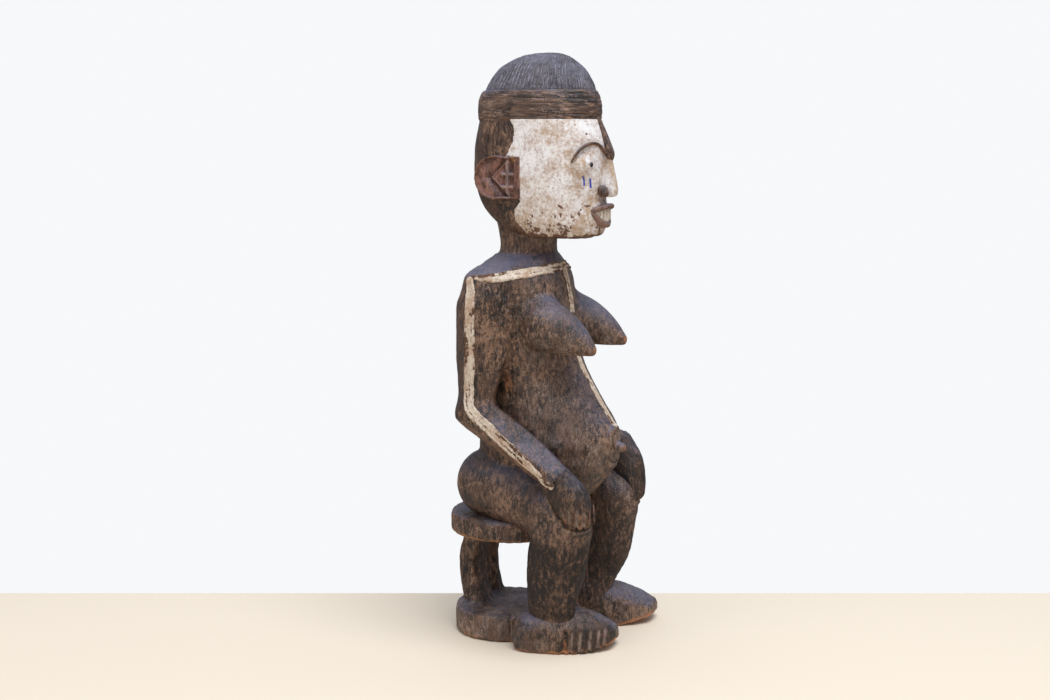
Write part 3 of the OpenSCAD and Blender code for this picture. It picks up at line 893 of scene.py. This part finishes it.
half = [(69, 8, 383, 1.8), (65, -14, 383.2, 4.8), (50, -41, 387.4, 5.6), (26, -59, 391.6, 5.2), (0, -65, 393, 4.8)]
stripe("shoulder_stripe", [[(side * x, y, z, w) for x, y, z, w in half] for side in (RIGHT, LEFT)], 201)
stripe("chest_stripe", [[
    (0, -67, 388, 5.5), (0, -69.5, 374, 5.2), (0, -74, 355, 5.0), (0, -77, 330, 4.6),
    (0, -84, 296, 4.2), (0, -98, 270, 4.4), (0, -110, 250, 4.3), (0, -122, 231, 3.6)]], 211)
for side in (RIGHT, LEFT):
    r0, r1 = REACH[side]
    stripe("arm_stripe_" + SIDE[side], [[(side * x, y, z, w) for x, y, z, w in (
        (70, 6, 381, 4), (74, 4, 368, 5.2), (76.5, 3.2, 350, 5.6), (77.6, 3.2, 325, 5.6), (78, 3.2, 298, 5.5),
        (78.5, 4, 272, 5.6), (79, 1, 250, 6), (81, -23 + 0.3 * r0, 231 + 0.4 * r1, 5.6),
        (83, -50 + 0.7 * r0, 211 + 0.7 * r1, 5.4), (83.5, -72 + r0, 192 + r1, 5.2),
        (82.5, -85 + r0, 181.5 + r1, 4.6))]], 221 + side,
        tail=lambda q, b=r1: ease(203 + b, 188 + b, q[:, 2]) * (0.3 + 0.6 * ease(-0.3, 0.4, noise(q, 4, 230))))


# ---- hands ----

# Finger gaps: place across the hand, and the height where each gap ends.
FINGER_GAPS = ((56.5, 156), (62.6, 159), (71, 160), (77.5, 158))

for side in (RIGHT, LEFT):
    r0, r1 = REACH[side]
    hand = side_block(side, (50, -140, 128), (90, -60, 215), 0.7)
    claim(hand, "forearm", arm_shapes(hand, side)[1])
    hand.add("forearm", arm_shapes(hand, side)[1], 0.1)
    hand.add("hand_" + SIDE[side], hand_shape(hand, side), 3)
    wrist = np.array([side * (ARM_X + 7.5), -86 + r0, 186 + r1])
    along = np.array([0, -0.85, -0.53])

    def fingers(p):
        x, y, z = p.T
        across = VIEW_X * -side * x - VIEW_Y * y + 0.45 * r0 + 0.5 * noise(p, 9, 3)
        outer = ease(-2, 3, side * x - ARM_X + 2)
        out = 0
        for at, top in FINGER_GAPS:
            out = out + groove(across - at, 1.3, 2.2) * ease(top + 0.4 * r1 + 3, top + 0.4 * r1 - 4, z) * outer
        slit = np.hypot(x - side * 52, (y + 116 - 0.5 * (11 + r0)) * 0.9) if side == LEFT else across - 86
        out = out + groove(slit, 1.2, 2.2) * ease(176, 168, z)
        ring = (p - wrist) @ along + 0.7 * noise(p, 14, 8)
        out = out + groove(ring, 1.1, 0.9) + groove(ring - 4.5, 0.8, 0.35)
        return out + rough(p, 5, 31) * 0.15 + (scoops(p, 11, 33) - 0.5) * 0.25

    hand.carve(fingers)

    def hand_paint(p, n, masks):
        x, y, z = p.T
        across = VIEW_X * -side * x - VIEW_Y * y + 0.45 * r0 + 0.5 * noise(p, 9, 3)
        outer = ease(-2, 3, side * x - ARM_X + 2)
        tan = sum(groove(across - at, 1.5, 1.2) * ease(top + 0.4 * r1 + 2, top + 0.4 * r1 - 3, z)
            for at, top in FINGER_GAPS) * outer
        ring = groove((p - wrist) @ along + 0.7 * noise(p, 14, 8), 1.0, 1)
        masks[:, PALE] = unit(tan * (1.0 + 0.4 * noise(p, 4, 10)) + 0.25 * ring)
        dark = 0.92 if side == RIGHT else 0.55
        masks[:, HOLLOW] = unit(masks[:, HOLLOW] * 0.6 * (1 - tan) + dark - 0.7 * tan + 0.25 * noise(p, 7, 16))
        low = ease(139.5, 136.5, z + noise(p, 6, 9) * 2)
        masks[:, TINT] = unit(low * 0.6 + 0.6 * ring * ease(0.0, 0.5, noise(p, 9, 11))
            + 0.25 * ease(0.35, 0.7, rough(p, 7, 12)) * ease(0.2, 0.7, n[:, 2]))

    cut_up(hand, hand_paint, skip=("forearm",))


# ---- feet ----

TOE_GAPS = (39, 48, 58.5, 67, 74)  # distances from the middle of the heel

for side in (RIGHT, LEFT):
    toe = np.array([-14, -119] if side == RIGHT else [84, -126])
    heel = np.array([-50, -52] if side == RIGHT else [48, -54])
    along = toe - heel
    mid, ball = heel + 0.4 * along, heel + 0.75 * along
    foot = Block((min(heel[0], toe[0]) - 34, toe[1] - 24, -6), (max(heel[0], toe[0]) + 34, heel[1] + 28, 56), 0.75)
    w, d = foot.eggs([
        (*heel, 14, 19, 17, 22), (*mid, 15, 24.5, 23.5, 29), (*ball, 11, 23.5, 20, 24.5),
        (*toe, 9, 19.5, 13, 16)], power=2.9)
    x, y, z = foot.xyz(w)
    axis = along / np.linalg.norm(along)
    ahead = (x - heel[0]) * axis[0] + (y - heel[1]) * axis[1]
    foot.add("foot_" + SIDE[side], (w, soft_max(d, (9 * ease(42, 100, ahead) - z).astype(np.float32), 2.5)), 0.1)
    outward = np.array([axis[1], -axis[0]]) * (1 if side == RIGHT else -1)

    def toes(p):
        q = p[:, :2] - heel
        s, out = q @ axis, q @ outward
        cut = 0
        for at, width in ((32, 2.0), *((gap, 1.3) for gap in TOE_GAPS[:-1]), (TOE_GAPS[-1], 1.4)):
            slant = 0.10 * (p[:, 2] - 10)
            cut = cut + groove(s - at - slant + 0.3 * noise(p, 6, 5), width, 1.6) * ease(
                28 - 0.08 * (at - 30), 23 - 0.08 * (at - 30), p[:, 2])
        cut = cut * ease(2, 8, out)
        return cut + rough(p, 6, 41) * 0.2 + (scoops(p, 13, 43) ** 2 - 0.4) * 0.5

    foot.carve(toes)

    def foot_paint(p, n, masks):
        q = p[:, :2] - heel
        s, out = q @ axis, q @ outward
        sole = ease(5.5, 2.0, p[:, 2] - 9 * ease(42, 100, s) + noise(p, 9, 6) * 2.2) * ease(
            -0.2, 0.25, noise(p, 22, 7) + 0.15)
        lines = sum(groove(s - at - 0.1 * (p[:, 2] - 10), 1.5, 1.3) for at in TOE_GAPS) * ease(
            26, 21, p[:, 2]) * ease(2, 8, out)
        tip = ease(82, 92, s + noise(p, 6, 8) * 3) * ease(18, 8, p[:, 2])
        first = groove(s - 33, 2.5, 0.8) * ease(19, 13, p[:, 2]) * ease(2, 8, out)
        worn = np.hypot((s - 42) / 9, (out + 1) / 5)
        toe_side = ease(24, 34, s) * ease(2, 8, out) * ease(30, 23, p[:, 2])
        masks[:, HOLLOW] = unit(masks[:, HOLLOW] + 0.6 * toe_side - 1.2 * lines)
        masks[:, TINT] = unit(sole * 0.9 + tip * 0.6 + first * 0.8 + 0.35 * lines)
        masks[:, PALE] = unit(0.35 * ease(1.15, 0.95, worn) * ease(0.6, 0.9, worn) * ease(0.3, 0.7, n[:, 2])
            + lines * 0.9 + (0.16 + 0.25 * noise(p, 6, 45)) * (1 - toe_side))

    cut_up(foot, foot_paint)


# ---- stool ----

stool = Block((-72, -78, -6), (72, 66, 138), 1.0)


def disc(centre_y, radius, low, high, edge, seed):
    """A round slab whose rim is dressed with a chisel in short upright facets."""
    x, y, z = stool.xyz()
    y = y - centre_y
    turn = np.arctan2(y + 0 * x, x + 0 * y)
    sides = 26
    k = (turn + math.pi) / (2 * math.pi) * sides + 0.35 * np.sin(turn * 3 + seed)
    flat = np.cos(math.pi / sides) / np.cos((k - np.floor(k) - 0.5) * 2 * math.pi / sides)
    r = np.hypot(x, y) - radius * (0.35 + 0.65 * flat) - 0.5 * np.sin(turn * 5 + seed)
    q = np.maximum(r + edge, 0)
    h = np.abs(z - (low + high) / 2) - (high - low) / 2 + edge
    d = np.hypot(q, np.maximum(h, 0)) + np.minimum(np.maximum(r + edge, h), 0) - edge
    return (slice(None),) * 3, d.astype(np.float32)


stool.add("stool_base", disc(0, BASE_R, 0, BASE_T, 4, 1.0), 0.1)
stool.add("stool_post_right", stool.loft([
    [18, 20, 14, 30, 44, 4.5], [30, 17.5, 19, 31, 42.5, 4.5], [48, 15.5, 25, 36, 47, 4],
    [68, 14.5, 28, 38.5, 49.5, 4], [88, 15, 25, 36, 47, 4], [106, 16, 20, 30, 41, 4.5],
    [116, 17, 18, 29, 40, 4.5]], -5, 4.5), 6)
stool.add("stool_post_left", stool.loft([
    [18, 10, 18, 31, 42, 4.5], [30, 8, 21, 31, 41, 4.5], [48, 6.8, 25, 34.5, 43.5, 4],
    [68, 6.3, 27, 36.5, 45.5, 4], [88, 6.8, 25, 34, 43, 4], [106, 7.2, 22, 31, 40, 4.5],
    [116, 8, 21, 30.5, 40, 4.5]], 32, 4.5), 6)
stool.add("stool_seat", disc(SEAT_Y, SEAT_R, SEAT_Z, SEAT_Z + SEAT_T, 4, 2.6), 3)


def stool_marks(p):
    x, y, z = p.T
    across = VIEW_X * x - VIEW_Y * y
    near = ease(-20, -40, x)
    notch = (groove(across - 4.0, 0.9, 1.4) + groove(across - 10.5, 0.9, 1.6)) * near * ease(29, 26, z)
    return (scoops(p * (1, 1, 0.5), 12, 51) ** 2 - 0.35) * 0.7 + rough(p, 4.5, 53) * 0.22 + notch


stool.carve(stool_marks)


def stool_paint(p, n, masks):
    z = p[:, 2]
    sole = ease(5.5, 1.5, z + noise(p, 10, 61) * 2.5)
    rim = ease(116, 110.5, z + noise(p, 8, 62) * 2) * ease(100, 108, z) * ease(0.0, 0.4, noise(p, 25, 63) + 0.2)
    masks[:, TINT] = unit(sole * 0.6 * ease(-0.3, 0.2, noise(p, 20, 64)) + rim * 0.6)
    masks[:, PALE] = unit((0.22 * ease(0.5, 1, n[:, 2]) + 0.26 * ease(32, 24, z)) * (1 + noise(p, 9, 65)))


cut_up(stool, stool_paint)


# ---- head ----

head = Block((-60, -114, 416), (60, 42, 612), 0.6)
head.add("head", head.loft(SKULL), 0.1)
head.add("headband", head.loft(BAND), 0.4)
head.add("hair_cap", head.loft(HAIR), 0.4)


def combed(p):
    """The hair's fine strokes run up, nearly side by side, to a parting along the top."""
    x, y, _ = p.T
    turned = np.arccosh(((y + 50) + 1j * x + 1e-6) / 31.0)
    return 31 * np.abs(turned.real), np.cos(78 * turned.imag + 0.9 * noise(p, 9, 72) + 1.2 * noise(p, 26, 71))


def hair_and_band(p):
    _, y, z = p.T
    spread, wave = combed(p)
    strokes = ease(0.0, 0.95, wave) * 1.1 * ease(570.5, 573, z) * ease(3, 9, spread) * (0.8 + 0.4 * noise(p, 15, 73))
    front = ease(10, -60, y)
    lines = 0
    for at, deep, seed in ((565.8, 0.8, 1), (561.0, 0.9, 2), (556.8, 0.6, 3), (551.5, 0.4, 6),
            (545.2, 1.1, 4), (541.9, 0.4, 5)):
        level = z - at - 0.9 * noise(p, 30, 74 + seed) + 1.4 * ease(-20, 20, y) * (1 if seed % 2 else -1)
        lines = lines + groove(level, 0.65, deep) * (0.25 + 0.75 * front) * (0.6 + 0.5 * noise(p, 12, 80 + seed))
    lines = lines * ease(539, 541, z) * ease(570, 568, z)
    marks = (scoops(p * (1, 1, 0.4), 11, 85) ** 2 - 0.4) * 0.35 + rough(p, 4, 86) * 0.12
    return unit(strokes) + lines + marks


head.carve(hair_and_band)


def head_paint(p, n, masks):
    _, y, z = p.T
    spread, wave = combed(p)
    hair = ease(570.5, 573, z) * ease(3, 9, spread)
    masks[:, PALE] = hair * ease(0.45, 0.98, wave) * (0.65 + 0.6 * noise(p, 7, 90)) + 0.12 * hair
    masks[:, HOLLOW] *= 1 - 0.6 * hair
    masks[:, RIDGE] *= 1 - 0.85 * hair
    band = ease(541, 543, z) * ease(570, 567, z)
    masks[:, TINT] = band * 0.30 * ease(0.1, 0.7, noise(p * (0.35, 0.35, 1.6), 6, 91) + 0.5 * rough(p, 3, 92))
    rim = groove(z - 542.5, 1.0, 0.5) + groove(z - 568.5, 0.8, 0.35)
    jaw = ease(428, 424, z) * ease(-30, -45, y) * ease(416, 421, z)
    masks[:, TINT] = unit(masks[:, TINT] + rim * ease(0.0, 0.4, noise(p, 12, 93)) + 0.4 * jaw)


cut_up(head, head_paint)


# ---- ears ----

def level_bars_of(z, width):
    return np.maximum(groove(z - 486.3, width, 1), groove(z - 473.6, width, 1))


for side in (RIGHT, LEFT):
    ear = side_block(side, (36, -46, 456), (58, 16, 510), 0.5)
    x, y, z = ear.xyz()
    x = side * x
    round_back = np.hypot(y + 12, z - 483) - 22
    front = np.maximum(np.abs(y + 25) - 13, np.abs(z - 483) - 21)
    outline = np.minimum(round_back, front) + 0 * x
    inset = -outline
    plane = 53.2 - 4.6 * ease(4, -38, y)
    # A pointed ridge divides the rear bowl from the front panel, which two pairs of bars cross.
    point = (y + 20) - 11.5 * (1 - np.abs(z - 483.3) / 12)
    bowl = ease(1.2, 3.4, inset) * ease(-1.2, 2.2, point)
    depth = bowl * (2.4 + 3.4 * ease(12, 1.5, point))
    panel = ease(1.2, -2.4, point) * ease(1.2, 2.4, inset) * ease(-32.6, -31.4, y)
    level_bars = level_bars_of(z, 2.0) * ease(-15, -18, y)
    bars = np.maximum(groove(y + 24.6, 2.2, 1), level_bars)
    depth = depth + panel * (3.0 - 2.5 * bars * ease(-14, -19, y))
    top = (x - (plane - depth)) * 0.8
    slab = soft_max(soft_max(outline, top, 1.2), 38 - x, 1.0)
    ear.add("ear_" + SIDE[side], ((slice(None),) * 3, slab.astype(np.float32)), 0.1)
    ear.carve(lambda p: rough(p, 3.5, 95) * 0.18 + (scoops(p, 7, 96) - 0.5) * 0.2)

    def ear_paint(p, n, masks):
        y, z = p[:, 1], p[:, 2]
        rim = ease(3.0, 1.6, 22 - np.hypot(y + 12, z - 483)) * ease(-20, -12, y)
        strip = ease(-31, -33, y)
        bright = np.hypot((y + 31) / 3, (z - 501) / 4)
        masks[:, TINT] = unit(0.8 * ease(1.2, 0.4, bright + 0.5 * rough(p, 2.5, 97))
            + 0.3 * rim * ease(0.1, 0.6, noise(p, 7, 98)))
        masks[:, HOLLOW] = unit(masks[:, HOLLOW] + 0.8 * rim + 0.5 * strip)
        bars = np.maximum(groove(y + 24.6, 2, 1), level_bars_of(z, 1.8)) * ease(-18, -20, y) * ease(-33, -32, y)
        cells = ease(-17, -20, y) * ease(-32.5, -31.5, y) * (1 - bars)
        masks[:, HOLLOW] = unit(masks[:, HOLLOW] + 0.7 * cells)
        masks[:, PALE] = unit(0.1 * ease(0.2, 0.7, noise(p, 4, 99)) + 0.55 * bars)

    cut_up(ear, ear_paint)


# ---- face ----

face = Block((-52, -134, 418), (52, -16, 548), 0.5)
w, d = face.loft(SKULL)
skull = np.full(face.n, FAR, np.float32)
skull[w] = d


def relief(shapes, k, cut=False, power=2.0):
    """Raises a swelling out of the face, or sinks a hollow into it."""
    w, d = face.eggs(shapes, power=power)
    skull[w] = soft_max(skull[w], -d, k) if cut else soft_min(skull[w], d, k)


for side in (RIGHT, LEFT):
    relief([(side * 36, -99, 497, 5, 5, 3), (side * 29, -108, 506.5, 5, 4, 4), (side * 20, -112.3, 511, 5, 3.5, 4),
        (side * 11, -114.5, 507, 4, 3.5, 4)], 3, cut=True)
    relief([(side * 22.5, -96.8, 495.5, 15.5, 8.6, 12)], 3.5)
relief([(-14, -96, 447, 8, 9, 12), (0, -100, 447, 10, 9.5, 15), (14, -96, 447, 8, 9, 12)], 7)
relief([(-12, -96, 431, 9, 6, 6), (0, -98.5, 431, 10, 6, 6), (12, -96, 431, 9, 6, 6)], 5)
coat = skull - COAT
nose_w, nose_d = face.eggs([
    (0, -111, 507, 3.6, 6, 5), (0, -113, 494, 3.8, 6, 7), (0, -114.5, 482, 4.4, 7.3, 7),
    (0, -115.5, 472, 5.4, 8.2, 6), (0, -115.5, 468.5, 5.4, 8.2, 5)], power=2.6)

# The coat is a thin skin with chipped edges; it is cut away where the clay has flaked off.
face.d[...] = coat
face.owner[...] = 0
face.names = ["face_kaolin", "nose"]
near = nose_d < coat[nose_w] - 0.6
face.owner[nose_w][near] = 1
face.d[nose_w] = soft_min(face.d[nose_w], nose_d, 2.5)
inside, p = face.points(near=2.6)
x, y, z = p.T
rear = np.interp(z, [420, 432, 441, 451, 460, 462, 503, 504.5, 508, 518, 530, 541, 550],
    [-42, -38, -30, -31, -38, -36, -36, -22, -24.6, -29.4, -31.6, -27, -27])
ragged = 0.7 * noise(p, 7, 101) + 0.6 * noise(p, 2.2, 102)
edge = np.maximum(y - rear - ragged * 1.2, np.maximum(424.6 - z + 0.7 * ragged, z - 540.6))
flakes = noise(p, 8, 103) * 0.35 + noise(p, 3.2, 104) * 0.5 + noise(p, 1.6, 106) * 0.45
spots = (0.74 + 0.5 * ease(446, 470, z) + 0.25 * ease(-70, -100, y)
    - 0.18 * ease(-60, -40, y) * ease(462, 446, z) - flakes) * 2.2
hole = np.maximum(edge, -spots)
face.d[inside] = np.maximum(face.d[inside], hole).astype(np.float32)
face.d = np.maximum(face.d, -(skull + 0.9))
face.d[inside] += (rough(p, 5, 105) * 0.12).astype(np.float32)


def coat_paint(p, n, masks):
    x, y, z = p.T
    a = np.abs(x)
    low = ease(478, 430, z)
    yellow = low * (0.85 + 0.6 * noise(p, 9, 110))
    forehead = ease(12, 4, np.hypot((y + 66) * 0.6, z - 534)) * 0.5 * ease(20, 40, a)
    eye = groove(np.hypot((a - 22) / 1.25, (z - 495)) - 12.5, 2.2, 0.35)
    bridge = ease(4.5, 2, a) * ease(-111, -116, y) * 1.3
    beside = ease(14, 5, np.hypot(a - 17, z - 466)) * 0.6
    temple = ease(5, 1, np.abs(a - 38)) * ease(20, 8, np.abs(z - 500)) * ease(-80, -92, y) * 0.95
    blots = (ease(0.15, 0.6, rough(p, 11, 111)) * 0.4 + ease(532, 540, z) * (0.35 + 0.5 * noise(p, 6, 115))
        + 0.5 * ease(0.1, 0.6, noise(p, 15, 116) + 0.4 * noise(p, 4, 117)))
    dot = ease(1.3, 0.7, np.hypot(y + 100, z - 526)) * (x < 0)
    masks[:, PALE] = unit(yellow + forehead + eye + bridge + beside + temple + blots)
    jaw = ease(446, 427, z) * 0.62 + 0.35 * ease(8, 0, y + 38) * ease(505, 500, z)
    specks = ease(0.1, 0.7, noise(p, 5, 112) * 0.6 + noise(p, 1.8, 113) * 0.6)
    masks[:, HOLLOW] = unit(masks[:, HOLLOW] * 0.35 + jaw * (0.6 + noise(p, 6, 114))
        + specks * (0.18 + 0.5 * ease(490, 440, z)) + 0.5 * ease(3.5, 0.5, z - 424.6) + dot)
    ink = 0
    for sy, z0, z1 in ((-99.4, 475.5, 485.2), (-103.8, 473, 482.8)):
        ink = np.maximum(ink, ease(0.85, 0.45, np.abs(y - sy)) * ease(z0 - 0.4, z0 + 0.4, z)
            * ease(z1 + 0.4, z1 - 0.4, z))
    masks[:, TINT] = ink * (x < 0)


cut_up(face, coat_paint)


def feature(name, shapes, k=0.8, power=2.0, extra=None, paint=None):
    """A raised detail that grips the face and stands out of it."""
    eggs = np.array([e for group in shapes for e in group])
    w = face.window((eggs[:, :3] - eggs[:, 3:]).min(0) - 7, (eggs[:, :3] + eggs[:, 3:]).max(0) + 7)
    field = np.full([s.stop - s.start for s in w], FAR, np.float32)
    small = face.part(w, field)
    for group in shapes:
        v, d = small.eggs(group, steps=6, pad=6, power=power)
        small.d[v] = soft_min(small.d[v], d, k)
    if extra is not None:
        small.carve(extra)
    small.d = np.maximum(small.d, -(skull[w] + 1.5))
    small.carve(lambda p: rough(p, 2.6, 120) * 0.14, near=1.5)
    small.names = [name]
    cut_up(small, paint)


def dark_paint(p, n, masks):
    masks[:, RIDGE] *= 0.15


feature("forehead_ridge", [[(0, -101.5, 541, 2.6, 3, 3), (0, -107, 530, 3.2, 3.2, 4), (0, -112, 518, 4, 3.6, 4),
    (0, -116, 507, 4.8, 3.8, 4), (0, -116.5, 502, 3.0, 2.6, 3)]], paint=dark_paint)


def brow_paint(p, n, masks):
    masks[:, TINT] = ease(-0.4, -0.8, n[:, 2]) * 0.7 * ease(-0.1, 0.4, noise(p, 5, 125))
    masks[:, RIDGE] *= 0.2


for side in (RIGHT, LEFT):
    feature("brow_" + SIDE[side], [[
        (side * 40, -91, 499, 0.8, 1.4, 1.0), (side * 38.2, -94.8, 506.5, 1.5, 1.7, 1.3),
        (side * 32.5, -100, 513.4, 1.8, 1.9, 1.5), (side * 24, -104.8, 516.8, 1.9, 2, 1.6),
        (side * 14.5, -108.6, 515.6, 1.9, 2, 1.7), (side * 7.5, -112.4, 509, 2.1, 2, 2),
        (side * 4, -116, 503, 2, 2, 2)]], paint=brow_paint)
    feature("nostril_" + SIDE[side], [[(side * 8.6, -110.5, 471, 4.6, 6, 4.6),
        (side * 9.2, -113, 467.6, 4.4, 5, 4)]], paint=dark_paint)
    feature("pupil_" + SIDE[side], [[(side * 26.4, -105.6, 496.2, 2.6, 2.7, 2.6)]])


def lip(side_points):
    left = [(-a, b, c, r, s, t) for a, b, c, r, s, t in side_points]
    return [left + [q for q in side_points[::-1] if q[0] > 0]]


upper = lip([(20.8, -101, 450, 2.4, 2.6, 2.6), (16.5, -106.4, 451.4, 2.6, 3.2, 2.6), (10, -111.2, 453.6, 3, 4.4, 2.7),
    (4, -113.8, 454.7, 3, 5, 2.5), (0, -114.3, 454.9, 3, 5.2, 2.4)])
lower = lip([(20.8, -101, 449.4, 2.4, 2.6, 2.6), (16.5, -105.6, 444.6, 2.6, 3.4, 3.2),
    (10, -108.4, 438.8, 3, 4.4, 3.2), (4, -109.9, 436.2, 3, 4.8, 3.0), (0, -110.4, 435.6, 3, 5.0, 2.9)])


def lip_paint(p, n, masks):
    masks[:, RIDGE] *= 0.3


feature("upper_lip", upper, power=2.5, paint=lip_paint)
feature("lower_lip", lower, power=2.5, paint=lip_paint)


def gaps(p):
    place = p[:, 0] / 4.2
    return groove((place - np.round(place)) * 4.2, 0.9, 2.2)


feature("teeth", [[(-13, -103, 447.5, 2.5, 5.5, 4), (-8, -107.4, 446.5, 3.5, 5.5, 7), (0, -109.8, 446.5, 4, 5.8, 9),
    (8, -107.4, 446.5, 3.5, 5.5, 7), (13, -103, 447.5, 2.5, 5.5, 4)]], power=3, extra=gaps)
